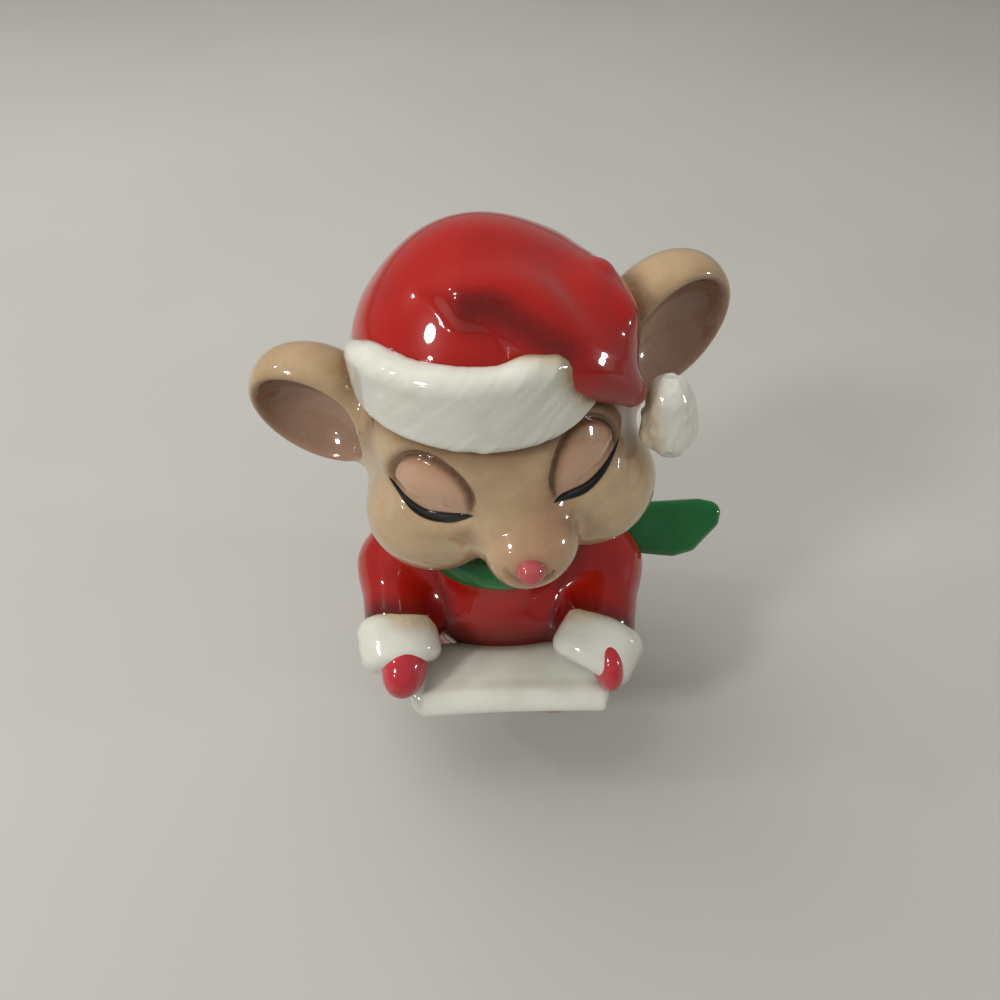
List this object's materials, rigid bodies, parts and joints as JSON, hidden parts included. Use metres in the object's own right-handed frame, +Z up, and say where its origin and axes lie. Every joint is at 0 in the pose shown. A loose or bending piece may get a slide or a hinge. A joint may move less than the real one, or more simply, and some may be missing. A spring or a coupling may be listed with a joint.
{
  "type": "ceramic mouse figurine",
  "caption": "Hollow glazed ceramic mouse in a red fur-trimmed coat and hat, eyes closed, holding a song sheet, on a flat base with a vent hole.",
  "frame": {"origin": "middle of the vent hole, on the plane that the figure stands on", "axes": "+Z up, the mouse faces -Y, +X is its own left side, the viewer's right"},
  "size_m": [0.083, 0.0586, 0.0953],
  "materials": {
    "red_glaze": "glossy red glaze",
    "tan_glaze": "clear gloss over a tan stain with brown shading",
    "white_glaze": "glossy warm white glaze",
    "green_glaze": "glossy green glaze",
    "mitten_glaze": "glossy crimson glaze",
    "nose_glaze": "glossy pink glaze"
  },
  "bodies": {
    "root": {"coat": "red_glaze", "coat_hem": "white_glaze", "head": "tan_glaze", "nose": "nose_glaze", "hat_crown": "red_glaze", "hat_band": "white_glaze", "pompom": "white_glaze", "left_ear": "tan_glaze", "right_ear": "tan_glaze", "scarf_wrap": "green_glaze", "scarf_end": "green_glaze", "left_sleeve": "red_glaze", "right_sleeve": "red_glaze", "left_cuff": "white_glaze", "right_cuff": "white_glaze", "left_mitten": "mitten_glaze", "right_mitten": "mitten_glaze", "song_sheet": "white_glaze", "left_foot": "tan_glaze", "right_foot": "tan_glaze", "tail": "tan_glaze"}
  },
  "joints": []
}
